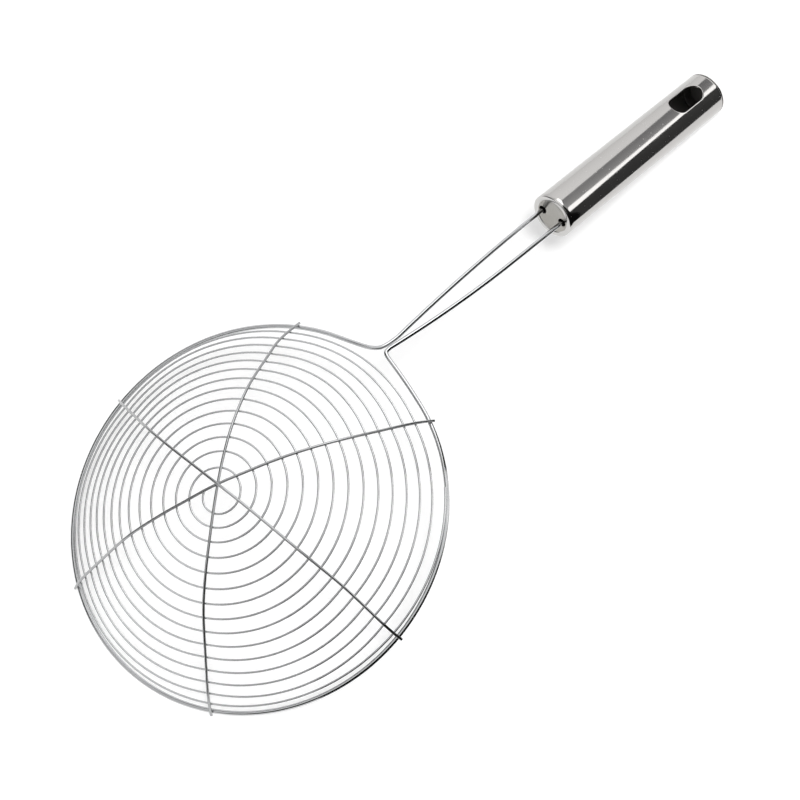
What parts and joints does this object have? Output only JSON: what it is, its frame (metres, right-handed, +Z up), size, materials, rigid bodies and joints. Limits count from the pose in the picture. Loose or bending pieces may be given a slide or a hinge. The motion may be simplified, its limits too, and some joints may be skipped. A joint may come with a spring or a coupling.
{
  "type": "spiral wire skimmer",
  "caption": "Kitchen skimmer with a domed bowl of spirally wound steel wire under cross ribs, a round wire rim, splayed wire legs and a hollow tube handle with a hang slot.",
  "frame": {"origin": "centre of the skimmer's footprint on the table, lying dome up on the rim's far side and the handle's tail", "axes": "+X from the bowl towards the tail of the handle, +Z up"},
  "size_m": [0.4544, 0.204, 0.0842],
  "materials": {
    "rim_wire": "polished drawn stainless wire",
    "spiral_wire": "polished drawn stainless wire",
    "rib_wire": "polished drawn stainless wire",
    "handle_steel": "mirror polished stainless tube with faint specks",
    "cap_steel": "satin turned steel",
    "anchor_steel": "plain turned steel, hidden"
  },
  "bodies": {
    "root": {"rim_frame": "rim_wire", "spiral_wire": "spiral_wire", "lower_rib": "rib_wire", "middle_rib": "rib_wire", "top_rib": "rib_wire", "handle_tube": "handle_steel", "front_cap": "cap_steel", "tail_cap": "handle_steel", "leg_anchor": "anchor_steel"}
  },
  "joints": []
}
